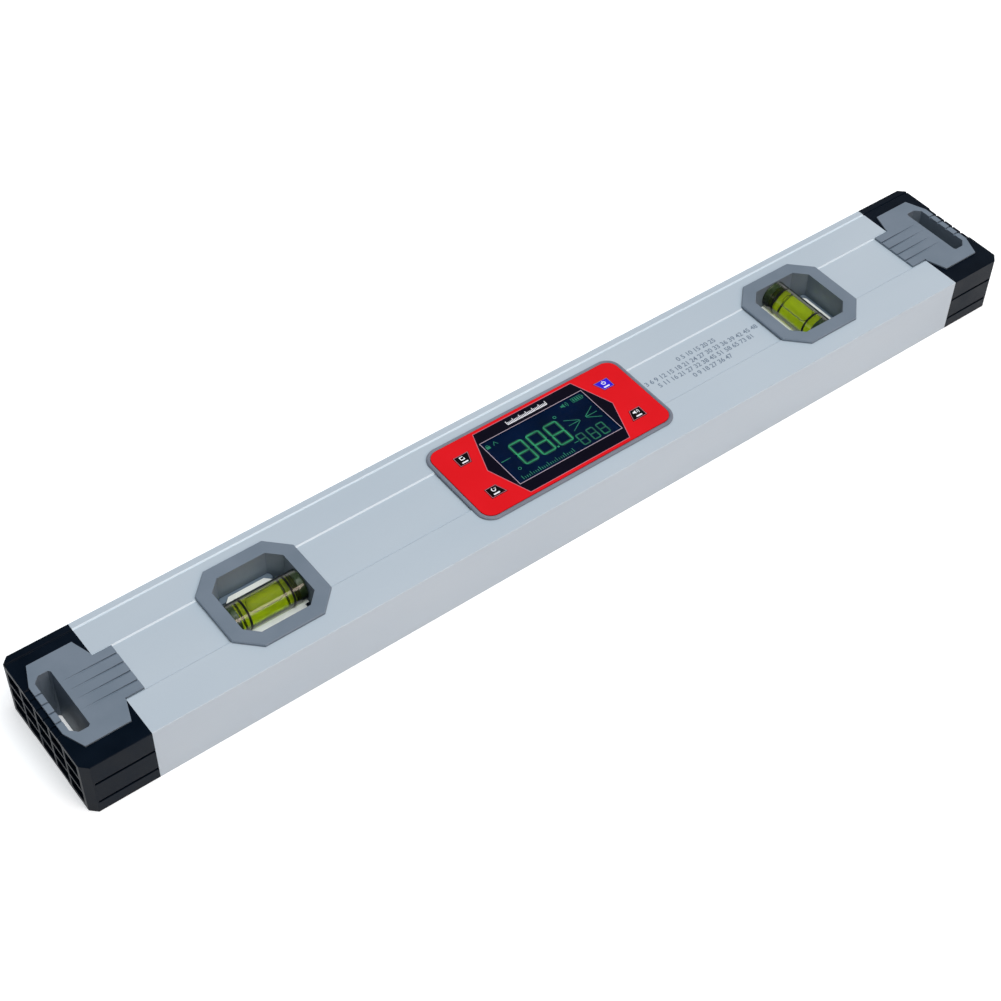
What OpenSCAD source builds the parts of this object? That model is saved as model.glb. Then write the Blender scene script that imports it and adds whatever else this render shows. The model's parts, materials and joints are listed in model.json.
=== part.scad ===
// Digital spirit level: an aluminium box section with two vials, a display module and plastic end caps.
// It lies on its back. X runs along its length and Y from the measuring face to the top edge.
// Z points out of the display.

/* [Body] */
// Length over the end caps
level_length = 400; // [330:5:600]
// Height from the measuring face to the top edge
level_height = 53; // [48:0.5:70]
// Thickness from the back face to the front face
level_depth = 23.5; // [23.5:0.5:30]
// Wall of the measuring face and of the top edge
edge_wall = 2.2; // [1.6:0.1:3]
// Wall of the front and back faces
face_wall = 1.6; // [1.4:0.1:1.8]
// Chamfer of the section's four long edges
edge_chamfer = 0.2; // [0.2:0.1:0.8]
// Width of the shallow channel, across its mouth
channel_width = 21.7; // [16:0.1:24]
// Depth of the shallow channel
channel_depth = 0.45; // [0.3:0.05:0.6]
// Distance of the sight groove from the top edge
sight_groove_inset = 3.1; // [2.4:0.05:3.5]
// Width of the sight groove
sight_groove_width = 0.9; // [0.6:0.1:1.2]
// Depth of the sight groove
sight_groove_depth = 0.4; // [0.2:0.05:0.6]
// Fall of the sloping strip between the sight groove and the top edge
top_edge_fall = 0.1; // [0.1:0.1:1]

/* [End caps] */
// Length of a cap outside the profile
cap_length = 24.15; // [22:0.05:32]
// Chamfer of the cap's upright outer edges
cap_chamfer = 2.5; // [1:0.1:4]
// Length of the plug inside the profile
plug_length = 12; // [6:1:20]
// Wall of the plug
plug_wall = 1.6; // [1.2:0.1:2.4]
// Pockets across the end face
pocket_columns = 5; // [3:1:7]
// Pockets up the end face
pocket_rows = 3; // [2:1:4]
// Depth of the pockets in the end face
pocket_depth = 2.6; // [1:0.1:3]
// Thickness of the ribs between the pockets
pocket_rib = 1.2; // [0.8:0.1:2]
// Border of the end face round the pockets
pocket_border = 1.7; // [1.2:0.1:2.5]
// Height of the lower side groove above the back face
low_groove_z = 5; // [3:0.1:8]
// Height of the upper side groove above the back face
high_groove_z = 14.3; // [12:0.1:18]
// Width of the side grooves
side_groove_width = 1; // [0.6:0.1:1.6]
// Depth of the side grooves
side_groove_depth = 0.7; // [0.3:0.1:1]

/* [Hang slots] */
// Length of a hang slot, across the level
slot_length = 26.3; // [16:0.1:32]
// Width of a hang slot, along the level
slot_width = 6.3; // [5:0.1:8]
// Distance from the level's end to the slot
slot_inset = 4.3; // [4:0.1:6]
// Chamfer of the slot's two outer corners
slot_outer_chamfer = 2.2; // [0.8:0.1:2.6]
// Chamfer of the slot's two inner corners
slot_inner_chamfer = 0.7; // [0.3:0.1:1.5]
// Thickness of the insert's lining of the slot
lining_wall = 0.8; // [0.5:0.1:0.8]

/* [Cap inserts] */
// Full width of the insert, across the level
insert_width = 37.8; // [32:0.1:42]
// Width of the insert's outer end
insert_end_width = 21.6; // [16:0.1:28]
// Width of the insert where it leaves the profile
insert_root_width = 22.2; // [18:0.1:26]
// Distance from the level's end to the insert
insert_end_inset = 2.1; // [1.4:0.1:3]
// Length of the insert's slanted outer corner, along the level
insert_corner_length = 3.3; // [2:0.1:5]
// Length of the insert's slanted root, along the level
insert_root_length = 2.65; // [1:0.05:4]
// Length of the tab that lies in the profile's channel
tab_length = 6.75; // [3:0.05:12]
// Rise of the insert above the front face
insert_rise = 0.5; // [0.3:0.05:1]
// Strips that the grooves divide the tab into
tab_strips = 5; // [3:1:7]
// Width of the grooves between the strips
strip_groove_width = 0.8; // [0.4:0.1:1.2]
// Depth of the grooves between the strips, at the tab's end
strip_groove_depth = 0.5; // [0.2:0.05:0.7]

/* [Vial frames] */
// Clear face between a cap insert's tab and a vial frame
vial_end_gap = 31.2; // [20:0.05:50]
// Width of the frame's octagonal flange
frame_width = 38; // [36:0.1:41]
// Corner chamfer of the flange
frame_chamfer = 7.7; // [5:0.1:9]
// Rise of the flange above the front face
frame_rise = 1; // [0.6:0.1:1.6]
// Bevel round the flange's upper edge
frame_bevel = 0.3; // [0.1:0.1:0.5]
// Width of the octagonal opening
opening_width = 27.4; // [24:0.1:32]
// Corner chamfer of the opening
opening_chamfer = 4.4; // [3:0.1:6]
// Wall of the cup behind the opening
cup_wall = 1.4; // [1:0.1:1.8]
// Width of the two ledges that carry the cradle
ledge_width = 2.6; // [2.4:0.1:2.8]
// Length of the two ledges
ledge_length = 20; // [15:0.5:21]

/* [Vials] */
// Outer radius of a vial
vial_radius = 5.7; // [5:0.1:7.2]
// Wall of the vial tube
tube_wall = 1.3; // [0.8:0.1:1.6]
// Depth of a vial below the top of its frame
vial_sink = 0.1; // [0.1:0.1:1]
// Length of each end plug
plug_disc_length = 2.4; // [1.5:0.1:3]
// Distance between the two ring lines
ring_spacing = 16.6; // [14:0.1:20]
// Width of a ring line
ring_width = 0.8; // [0.3:0.1:1.2]
// Depth of the groove that holds a ring line
ring_depth = 0.25; // [0.15:0.05:0.4]
// Radius of the bubble
bubble_radius = 2.3; // [1.5:0.1:2.5]
// Length of the bubble
bubble_length = 13.6; // [8:0.1:13.8]
// How far the bubble runs each way from the middle
bubble_travel = 3.4; // [1:0.1:3.4]
// Depth of the cradle's wings below the front face
cradle_wing_depth = 8.5; // [7:0.1:9]
// Thickness of the cradle
cradle_wall = 0.8; // [0.6:0.1:1.2]
// Distance from the wall of the opening to the cradle's wings
cradle_inset = 1.8; // [0.2:0.05:1.8]
// Extra chamfer on the corners of the cradle's wings
cradle_corner_cut = 0.6; // [0:0.1:1]

/* [Display panel] */
// Width of the panel, along the level
panel_width = 85.6; // [85.6:0.1:110]
// Height of the panel, across the level
panel_height = 39.1; // [39.1:0.1:48]
// Corner radius of the panel
panel_radius = 6; // [4:0.5:8]
// Rise of the panel's rim above the front face
panel_rise = 1; // [0.8:0.1:1.4]
// Width of the rim round the membrane
rim_width = 1.5; // [1:0.1:2.5]
// Overhang of the flange past the module's skirt
flange_overhang_x = 2.8; // [2:0.1:5]
// Overhang of the flange past the skirt, across the level
flange_overhang_y = 2.3; // [2:0.1:4]
// Wall of the module's skirt
skirt_wall = 1.5; // [1.2:0.1:2]
// Thickness of the gasket under the flange
gasket_thickness = 0.18; // [0.1:0.02:0.3]
// Thickness of the membrane and the window plates
membrane_thickness = 0.4; // [0.3:0.05:0.5]
// Width of the six-sided window, between its side points
window_width = 55.8; // [54:0.1:55.8]
// Length of the window's top and bottom sides
window_top_width = 43.8; // [40:0.1:48]
// Height of the window
window_height = 33.4; // [30:0.1:34]
// Width of the clear pane over the screen
pane_width = 45.4; // [40:0.1:46]
// Height of the clear pane over the screen
pane_height = 23.4; // [20:0.1:24]
// Width of the LCD glass
lcd_width = 50.2; // [47:0.1:50.2]
// Height of the LCD glass
lcd_height = 28.2; // [26:0.1:28.2]
// Thickness of the LCD glass
lcd_thickness = 1.8; // [1.2:0.1:2.2]

/* [Buttons] */
// Distance from the panel's end to a button
button_inset_x = 8.5; // [8.5:0.1:9]
// Distance from the panel's long side to a button
button_inset_y = 8.2; // [8:0.1:9]
// Width of a button on its outer side
button_wide = 6.2; // [5.5:0.1:6.2]
// Width of a button on its inner side
button_narrow = 4.5; // [3.5:0.1:5.5]
// Height of a button
button_height = 4.6; // [4:0.1:5.4]
// Travel of a button
button_travel = 0.4; // [0.2:0.05:0.4]
// Gap round a button in the panel
button_gap = 0.2; // [0.15:0.05:0.3]
// Border of the flange that keeps a button in
button_flange = 0.6; // [0.5:0.05:0.7]
// Thickness of that flange
button_flange_thickness = 0.7; // [0.5:0.1:1]
// Radius of the stem that meets the dome switch
stem_radius = 1.5; // [1:0.1:2]

/* [Electronics] */
// Thickness of the main board
board_thickness = 1.2; // [0.8:0.2:1.6]
// Gap between the board's edge and the skirt
board_gap = 0.5; // [0.3:0.1:0.8]
// Radius of a dome switch
dome_radius = 2.6; // [2:0.1:3]
// Height of a dome switch
dome_height = 0.5; // [0.3:0.05:0.6]
// Side of the processor chip
processor_side = 8; // [5:0.5:10]
// Side of the tilt sensor
sensor_side = 5; // [3:0.5:6]
// Height of both chips
chip_height = 1; // [0.6:0.1:1.4]
// Radius of the buzzer
buzzer_radius = 4.5; // [3:0.5:5]
// Height of the buzzer
buzzer_height = 3; // [2:0.1:3]
// Radius of a module screw's thread
screw_radius = 0.95; // [0.8:0.05:1]
// Radius of a module screw's head
screw_head_radius = 1.7; // [1.5:0.1:1.9]
// Height of a module screw's head
screw_head_height = 1.2; // [0.8:0.1:1.5]

/* [Battery] */
// Radius of a cell
cell_radius = 5.25; // [5.2:0.05:5.3]
// Length of a cell over its nub
cell_length = 44.5; // [44:0.1:45]
// Radius of a cell's nub
nub_radius = 1.9; // [1.5:0.1:2]
// Length of a cell's nub
nub_length = 0.8; // [0.6:0.1:1.2]
// Gap between the two cells
cell_gap = 0.7; // [0.5:0.1:2]
// Room for the contacts at each end of the cells
contact_room = 3.75; // [3:0.05:5]
// Thickness of the contact strip
contact_thickness = 0.3; // [0.2:0.05:0.4]
// Width of a contact
contact_width = 6; // [4:0.5:8]
// Width of the tabs that join the contacts to the board
contact_tab_width = 2; // [1:0.5:3]
// Thickness of the battery box's roof
housing_roof = 1.2; // [1:0.1:1.4]
// Wall of the battery box at the ends of the cells
box_end_wall = 4; // [3.5:0.1:5]
// Wall of the battery box along the cells
box_side_wall = 2.6; // [2.4:0.1:4]
// Width of the box's rim that shows round the door
door_lap = 0.8; // [0.6:0.1:1.2]
// Thickness of the door
door_thickness = 1.2; // [1:0.1:1.25]
// Corner radius of the door
door_radius = 2; // [1:0.5:4]

/* [Fits] */
// Gap between a cap plug and the profile
plug_fit = 0.1; // [0.05:0.05:0.3]
// Gap round the inserts, the cups and the module in their cut-outs
seat_fit = 0.2; // [0.1:0.05:0.3]
// Small gap between pieces that lie on each other
lay_fit = 0.05; // [0.02:0.01:0.1]

/* [Hidden] */
$fn = 64;

aluminium = [0.71, 0.77, 0.83];
black_plastic = [0.05, 0.08, 0.11];
grey_plastic = [0.45, 0.51, 0.57];
white_plastic = [0.9, 0.9, 0.88];
clear_plastic = [0.85, 0.9, 0.85, 0.4];
green_liquid = [0.55, 0.7, 0.1, 0.8];
line_black = [0.03, 0.03, 0.03];
plug_green = [0.15, 0.25, 0.05];
air = [0.85, 0.95, 0.6, 0.6];
keypad_red = [0.86, 0.1, 0.14];
window_black = [0.04, 0.03, 0.09];
screen_blue = [0.01, 0.07, 0.16];
button_blue = [0.16, 0.04, 0.8];
board_green = [0.1, 0.4, 0.2];
chip_black = [0.1, 0.1, 0.1];
steel = [0.7, 0.7, 0.72];
cell_grey = [0.3, 0.32, 0.36];
rubber_black = [0.08, 0.08, 0.08];

// How far a cut reaches past the faces that it opens
past = 1;

// The profile and the caps
front = level_depth;
half_length = level_length / 2;
half_height = level_height / 2;
cap_edge = half_length - cap_length;
channel_floor_width = channel_width - 2 * channel_depth;
sight_groove_y = half_height - sight_groove_inset;
cavity_height = level_height - 2 * edge_wall;
cavity_depth = level_depth - 2 * face_wall;
plug_height = cavity_height - 2 * plug_fit;
plug_depth = cavity_depth - 2 * plug_fit;
slot_out = half_length - slot_inset;
slot_in = slot_out - slot_width;
core_end = slot_in - plug_wall;

// The inserts
insert_bottom = front - channel_depth + lay_fit;
insert_top = front + insert_rise;
tab_half = channel_floor_width / 2 - 2 * lay_fit;
insert_root = cap_edge + plug_fit;
insert_out = half_length - insert_end_inset;
tab_end = cap_edge - tab_length;
strip_pitch = channel_width / tab_strips;

// The vials
vial_x = tab_end - vial_end_gap - frame_width / 2;
frame_top = front + frame_rise;
vial_z = frame_top - vial_sink - vial_radius;
bore_radius = vial_radius - tube_wall;
trough_radius = vial_radius + seat_fit;
cradle_top = front - cradle_wing_depth;
cup_floor_top = vial_z - trough_radius - cradle_wall - seat_fit;
cup_bottom = cup_floor_top - cup_wall;
cup_width = opening_width + 2 * cup_wall;
cup_chamfer = opening_chamfer + cup_wall * (2 - sqrt(2));
tube_length = opening_width - 2 * seat_fit;
liquid_length = tube_length - 2 * plug_disc_length - 2 * lay_fit;
bubble_rise = bore_radius - bubble_radius - 2 * lay_fit;

// The display module, from the front face down
skirt_width = panel_width - 2 * flange_overhang_x;
skirt_height = panel_height - 2 * flange_overhang_y;
skirt_radius = panel_radius / 2;
rim_top = front + panel_rise;
rim_shoulder = rim_top - rim_width / 2;
membrane_top = rim_top - 2 * lay_fit;
membrane_bottom = membrane_top - membrane_thickness;
recess_floor = membrane_bottom - lay_fit;
flange_bottom = front + gasket_thickness + lay_fit / 2;
panel_floor = 1.7;
floor_bottom = recess_floor - panel_floor;
lcd_top = recess_floor - lay_fit;
lcd_bottom = lcd_top - lcd_thickness;
board_drop = 3.9;
board_top = floor_bottom - board_drop;
board_bottom = board_top - board_thickness;
button_flange_top = floor_bottom - 2 * lay_fit;
button_flange_bottom = button_flange_top - button_flange_thickness;
stem_bottom = board_top + dome_height + button_travel + 2 * lay_fit;
button_out = panel_width / 2 - button_inset_x;
button_far = panel_height / 2 - button_inset_y;
button_near = button_far - button_height;

// The battery box, from the back face up
housing_bottom = face_wall + 2 * lay_fit;
cell_rest_gap = 0.35;
cell_z = housing_bottom + cell_radius + cell_rest_gap;
box_roof_z = cell_z + cell_radius + 2 * lay_fit;
housing_top = box_roof_z + housing_roof;
cell_y = cell_radius + cell_gap / 2;
box_length = cell_length + 2 * contact_room;
box_height = 2 * (cell_y + cell_radius) + 2 * seat_fit;
box_outer_length = box_length + 2 * box_end_wall;
box_outer_height = box_height + 2 * box_side_wall;
door_opening_length = box_outer_length - 2 * door_lap;
door_opening_height = box_outer_height - 2 * door_lap;
door_length = door_opening_length - 2 * seat_fit;
door_height = door_opening_height - 2 * seat_fit;
contact_back = box_length / 2 - lay_fit;
contact_face = contact_back - contact_thickness;
contact_tip = cell_length / 2 + 2 * lay_fit;
contact_reach = 3.8;

// The screws that hold the module together
screw_inset_x = 3.6;
screw_inset_y = 3.45;
screw_x = skirt_width / 2 - screw_inset_x;
screw_y = skirt_height / 2 - screw_inset_y;
screw_hole_fit = 0.15;
screw_hole_radius = screw_radius + screw_hole_fit;
thread_fit = 0.02;
tip_gap = 0.2;
pillar_radius = 1.85;
post_radius = 2.2;
screw_tip = floor_bottom - 1.5 * tip_gap;

// Direction from one point to the next, and the outward normal of that side
function unit(v) = v / norm(v);
function outward(a, b) = let (e = unit(b - a)) [e[1], -e[0]];

// An anticlockwise outline with every side moved out by d
function grow(points, d) = [
    for (i = [0 : len(points) - 1])
        let (
            n = len(points),
            p = points[i],
            n1 = outward(points[(i + n - 1) % n], p),
            n2 = outward(p, points[(i + 1) % n])
        )
        p + d * (n1 + n2) / (1 + n1 * n2)
];

// A square with its four corners cut off
function octagon_points(width, chamfer) =
    let (h = width / 2, c = h - chamfer)
    [[h, -c], [h, c], [c, h], [-c, h], [-h, c], [-h, -c], [-c, -h], [c, -h]];

// The cap insert at the right end, seen from the front
insert_points = [
    [tab_end, -tab_half],
    [insert_root, -tab_half],
    [insert_root, -insert_root_width / 2],
    [insert_root + insert_root_length, -insert_width / 2],
    [insert_out - insert_corner_length, -insert_width / 2],
    [insert_out, -insert_end_width / 2],
    [insert_out, insert_end_width / 2],
    [insert_out - insert_corner_length, insert_width / 2],
    [insert_root + insert_root_length, insert_width / 2],
    [insert_root, insert_root_width / 2],
    [insert_root, tab_half],
    [tab_end, tab_half],
];

// The hang slot at the right end, seen from the front
slot_half = slot_length / 2;
slot_points = [
    [slot_in, -slot_half + slot_inner_chamfer],
    [slot_in + slot_inner_chamfer, -slot_half],
    [slot_out - slot_outer_chamfer, -slot_half],
    [slot_out, -slot_half + slot_outer_chamfer],
    [slot_out, slot_half - slot_outer_chamfer],
    [slot_out - slot_outer_chamfer, slot_half],
    [slot_in + slot_inner_chamfer, slot_half],
    [slot_in, slot_half - slot_inner_chamfer],
];

// The six-sided window
window_points = [
    [window_width / 2, 0],
    [window_top_width / 2, window_height / 2],
    [-window_top_width / 2, window_height / 2],
    [-window_width / 2, 0],
    [-window_top_width / 2, -window_height / 2],
    [window_top_width / 2, -window_height / 2],
];

// The top right button
button_points = [
    [button_out - button_narrow, button_near],
    [button_out, button_near],
    [button_out, button_far],
    [button_out - button_wide, button_far],
];

// Extrudes an outline, drawn as Y and Z, along X
module along_x(length) {
    rotate([90, 0, 90]) linear_extrude(length, center = true) children();
}

// Extrudes an outline, drawn as X and Z, along Y
module along_y(length) {
    rotate([90, 0, 0]) linear_extrude(length, center = true) children();
}

// Extrudes an outline, drawn as X and Y, from one height to another
module between(low, high) {
    translate([0, 0, low]) linear_extrude(high - low) children();
}

module rounded_rect(width, height, radius) {
    square([width - 2 * radius, height], center = true);
    square([width, height - 2 * radius], center = true);
    for (x = [-1, 1], y = [-1, 1])
        translate([x * (width / 2 - radius), y * (height / 2 - radius)]) circle(radius);
}

module octagon(width, chamfer) {
    polygon(octagon_points(width, chamfer));
}

// Copies a child to the four corners of the display module
module four_corners() {
    for (x = [0, 1], y = [0, 1]) mirror([x, 0, 0]) mirror([0, y, 0]) children();
}

// Copies a child, drawn at a screw's axis, to all four screws
module at_screws(z) {
    for (x = [-1, 1], y = [-1, 1]) translate([x * screw_x, y * screw_y, z]) children();
}

// Cross-section of the profile and the caps: Y across, Z up
module section() {
    top = channel_width / 2;
    floor_half = channel_floor_width / 2;
    groove = sight_groove_width / 2;
    polygon([
        [-half_height, edge_chamfer],
        [-half_height + edge_chamfer, 0],
        [-top, 0],
        [-floor_half, channel_depth],
        [floor_half, channel_depth],
        [top, 0],
        [half_height - edge_chamfer, 0],
        [half_height, edge_chamfer],
        [half_height, front - top_edge_fall - edge_chamfer],
        [half_height - edge_chamfer, front - top_edge_fall],
        [sight_groove_y + groove, front],
        [sight_groove_y, front - sight_groove_depth],
        [sight_groove_y - groove, front],
        [top, front],
        [floor_half, front - channel_depth],
        [-floor_half, front - channel_depth],
        [-top, front],
        [-half_height + edge_chamfer, front],
        [-half_height, front - edge_chamfer],
    ]);
}

module cavity_section(height, depth) {
    translate([0, front / 2]) square([height, depth], center = true);
}

module body_profile() {
    cup_cut_width = cup_width + 2 * seat_fit;
    cup_cut_chamfer = cup_chamfer + seat_fit * (2 - sqrt(2));
    color(aluminium) difference() {
        along_x(2 * cap_edge) section();
        along_x(2 * cap_edge + past) cavity_section(cavity_height, cavity_depth);
        between(front - face_wall - past, front + past)
            rounded_rect(skirt_width + 2 * seat_fit, skirt_height + 2 * seat_fit, skirt_radius + seat_fit);
        for (x = [-vial_x, vial_x]) translate([x, 0, 0])
            between(front - face_wall - past, front + past) octagon(cup_cut_width, cup_cut_chamfer);
        between(-past, face_wall + past)
            rounded_rect(door_opening_length, door_opening_height, door_radius + seat_fit);
    }
}

// The pockets in the end face of the right cap
module end_pockets() {
    span_y = level_height - 2 * cap_chamfer - 2 * pocket_border;
    span_z = level_depth - 2 * pocket_border - channel_depth;
    pitch_y = (span_y + pocket_rib) / pocket_columns;
    pitch_z = (span_z + pocket_rib) / pocket_rows;
    for (column = [0 : pocket_columns - 1], row = [0 : pocket_rows - 1])
        translate([
            half_length - pocket_depth,
            -span_y / 2 + column * pitch_y,
            (level_depth - span_z) / 2 + row * pitch_z
        ])
            cube([pocket_depth + past, pitch_y - pocket_rib, pitch_z - pocket_rib]);
}

// Grooves between the strips on the tab, deepest at its end and fading out before the slot
module tab_grooves() {
    plain_length = 1.2;
    deep_x = tab_end - past;
    fade_x = slot_in - plain_length;
    for (i = [1 : tab_strips - 1])
        translate([0, (i - tab_strips / 2) * strip_pitch, 0]) along_y(strip_groove_width) polygon([
            [deep_x, insert_top - strip_groove_depth],
            [fade_x, insert_top],
            [fade_x, insert_top + past],
            [deep_x, insert_top + past],
        ]);
}

// Grooves that carry the strips of the insert on to the level's end
module strip_grooves(from_x, to_x, floor_z) {
    for (i = [1 : tab_strips - 1])
        translate([from_x, (i - tab_strips / 2) * strip_pitch - strip_groove_width / 2, floor_z])
            cube([to_x - from_x, strip_groove_width, front]);
}

// The right end cap; the left one is its mirror image
module end_cap() {
    side_groove_end = half_length - cap_chamfer - side_groove_width / 2;
    color(black_plastic) difference() {
        union() {
            intersection() {
                translate([cap_edge + cap_length / 2, 0, 0]) along_x(cap_length) section();
                between(0, front) polygon([
                    [cap_edge, -half_height],
                    [half_length - cap_chamfer, -half_height],
                    [half_length, -half_height + cap_chamfer],
                    [half_length, half_height - cap_chamfer],
                    [half_length - cap_chamfer, half_height],
                    [cap_edge, half_height],
                ]);
            }
            translate([cap_edge - plug_length / 2 + past / 2, 0, 0])
                along_x(plug_length + past) cavity_section(plug_height, plug_depth);
        }
        translate([(cap_edge - plug_length + core_end) / 2 - past / 2, 0, 0])
            along_x(core_end - cap_edge + plug_length + past)
                cavity_section(plug_height - 2 * plug_wall, plug_depth - 2 * plug_wall);
        between(front - channel_depth, front + past) polygon(grow(insert_points, plug_fit));
        between(-past, front + past) polygon(grow(slot_points, lining_wall + plug_fit));
        for (z = [low_groove_z, high_groove_z])
            translate([cap_edge - past, -half_height - past, z - side_groove_width / 2])
                cube([side_groove_end - cap_edge + past, past + side_groove_depth, side_groove_width]);
        strip_grooves(insert_out, half_length + past, front - channel_depth - strip_groove_depth);
        end_pockets();
    }
}

module left_end_cap() {
    mirror([1, 0, 0]) end_cap();
}

module right_end_cap() {
    end_cap();
}

// The right insert, which lines the hang slot; the left one is its mirror image
module cap_insert() {
    color(grey_plastic) difference() {
        union() {
            between(insert_bottom, insert_top) polygon(insert_points);
            between(channel_depth, insert_top) polygon(grow(slot_points, lining_wall));
        }
        between(0, insert_top + past) polygon(slot_points);
        tab_grooves();
        strip_grooves(slot_out - past, insert_out + past, insert_top - strip_groove_depth);
    }
}

module left_cap_insert() {
    mirror([1, 0, 0]) cap_insert();
}

module right_cap_insert() {
    cap_insert();
}

// Cuts a bevel round the upper edge of an octagonal flange
module octagon_bevel(width, chamfer, top, bevel) {
    straight = width / 2;
    slanted = (width - chamfer) / sqrt(2);
    for (turn = [0 : 7])
        rotate([0, 0, 45 * turn])
            translate([(turn % 2 == 0 ? straight : slanted) - bevel, -width / 2, top])
                rotate([0, 45, 0]) cube([width, width, past]);
}

// A vial's parts are drawn about the origin in X and Y, with the vial along X
module vial_frame() {
    ledge_top = cradle_top - cradle_wall - lay_fit;
    ledge_y = opening_width / 2 - ledge_width;
    color(grey_plastic) {
        difference() {
            union() {
                difference() {
                    between(front, frame_top) octagon(frame_width, frame_chamfer);
                    octagon_bevel(frame_width, frame_chamfer, frame_top, frame_bevel);
                }
                between(cup_bottom, front + lay_fit) octagon(cup_width, cup_chamfer);
            }
            between(cup_floor_top, frame_top + past) octagon(opening_width, opening_chamfer);
        }
        for (side = [0, 1]) mirror([0, side, 0]) intersection() {
            translate([-ledge_length / 2, ledge_y, cup_floor_top - lay_fit])
                cube([ledge_length, ledge_width + lay_fit, ledge_top - cup_floor_top + lay_fit]);
            between(0, front) octagon(opening_width + 2 * lay_fit, opening_chamfer);
        }
    }
}

// Fills the profile's channel under the flange on both sides of the cup
module channel_keys() {
    color(grey_plastic) intersection() {
        between(front - channel_depth + lay_fit, front + lay_fit) difference() {
            octagon(frame_width - 2 * frame_bevel, frame_chamfer);
            octagon(cup_width - lay_fit, cup_chamfer);
        }
        translate([-frame_width, -tab_half, 0]) cube([2 * frame_width, 2 * tab_half, 2 * front]);
    }
}

// A trough under the tube, with a flat wing on each side
module vial_cradle() {
    wing_width = opening_width - 2 * cradle_inset;
    color(white_plastic) difference() {
        union() {
            between(cradle_top - cradle_wall, cradle_top)
                octagon(wing_width, opening_chamfer + cradle_corner_cut);
            intersection() {
                translate([0, 0, vial_z]) along_x(tube_length) circle(trough_radius + cradle_wall);
                between(0, cradle_top) octagon(tube_length, opening_chamfer);
            }
        }
        translate([0, 0, vial_z]) along_x(tube_length + past) circle(trough_radius);
    }
}

module vial_tube() {
    color(clear_plastic) translate([0, 0, vial_z]) difference() {
        along_x(tube_length) circle(vial_radius);
        along_x(tube_length + past) circle(bore_radius);
        for (side = [-1, 1]) translate([side * ring_spacing / 2, 0, 0])
            along_x(ring_width + lay_fit) difference() {
                circle(vial_radius + past);
                circle(vial_radius - ring_depth);
            }
    }
}

// A bar with round ends along X
module capsule(length, radius) {
    reach = length / 2 - radius;
    along_x(2 * reach) circle(radius);
    for (side = [-1, 1]) translate([side * reach, 0, 0]) sphere(radius);
}

module vial_liquid() {
    track_fit = 3 * lay_fit;
    color(green_liquid) translate([0, 0, vial_z]) difference() {
        along_x(liquid_length) circle(bore_radius - lay_fit);
        translate([0, 0, bubble_rise])
            capsule(bubble_length + 2 * bubble_travel + 2 * track_fit, bubble_radius + track_fit);
    }
}

module vial_rings() {
    color(line_black) translate([0, 0, vial_z])
        for (side = [-1, 1]) translate([side * ring_spacing / 2, 0, 0])
            along_x(ring_width) difference() {
                circle(vial_radius);
                circle(vial_radius - ring_depth + lay_fit);
            }
}

module vial_plugs() {
    color(plug_green) translate([0, 0, vial_z])
        for (side = [-1, 1]) translate([side * (tube_length - plug_disc_length) / 2, 0, 0])
            along_x(plug_disc_length) circle(bore_radius - lay_fit);
}

module vial_bubble() {
    color(air) translate([0, 0, vial_z + bubble_rise]) capsule(bubble_length, bubble_radius);
}

// The level vial lies along the level, the plumb vial across it
module at_level_vial() {
    translate([-vial_x, 0, 0]) children();
}

module at_plumb_vial() {
    translate([vial_x, 0, 0]) rotate([0, 0, 90]) children();
}

module level_vial_frame() {
    at_level_vial() vial_frame();
    translate([-vial_x, 0, 0]) channel_keys();
}

module level_vial_cradle() {
    at_level_vial() vial_cradle();
}

module level_vial_tube() {
    at_level_vial() vial_tube();
}

module level_vial_liquid() {
    at_level_vial() vial_liquid();
}

module level_vial_rings() {
    at_level_vial() vial_rings();
}

module level_vial_plugs() {
    at_level_vial() vial_plugs();
}

module level_vial_bubble() {
    at_level_vial() vial_bubble();
}

module plumb_vial_frame() {
    at_plumb_vial() vial_frame();
    translate([vial_x, 0, 0]) channel_keys();
}

module plumb_vial_cradle() {
    at_plumb_vial() vial_cradle();
}

module plumb_vial_tube() {
    at_plumb_vial() vial_tube();
}

module plumb_vial_liquid() {
    at_plumb_vial() vial_liquid();
}

module plumb_vial_rings() {
    at_plumb_vial() vial_rings();
}

module plumb_vial_plugs() {
    at_plumb_vial() vial_plugs();
}

module plumb_vial_bubble() {
    at_plumb_vial() vial_bubble();
}

// Half the cross-section of the rim, as a rounded top on a straight wall
module rim_profile() {
    translate([-rim_width, flange_bottom]) square([rim_width, rim_shoulder - flange_bottom]);
    intersection() {
        translate([-rim_width / 2, rim_shoulder]) circle(rim_width / 2);
        translate([-rim_width, rim_shoulder]) square([rim_width, rim_width]);
    }
}

// The rim round the panel: four straight lengths and four quarter turns
module panel_rim() {
    straight_x = panel_width - 2 * panel_radius;
    straight_y = panel_height - 2 * panel_radius;
    for (turn = [0 : 1]) rotate([0, 0, 180 * turn]) {
        translate([0, panel_height / 2, 0]) along_x(straight_x) rim_profile();
        translate([panel_width / 2, 0, 0]) rotate([0, 0, -90]) along_x(straight_y) rim_profile();
    }
    four_corners() translate([straight_x / 2, straight_y / 2, 0])
        rotate_extrude(angle = 90) translate([panel_radius, 0]) rim_profile();
}

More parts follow.
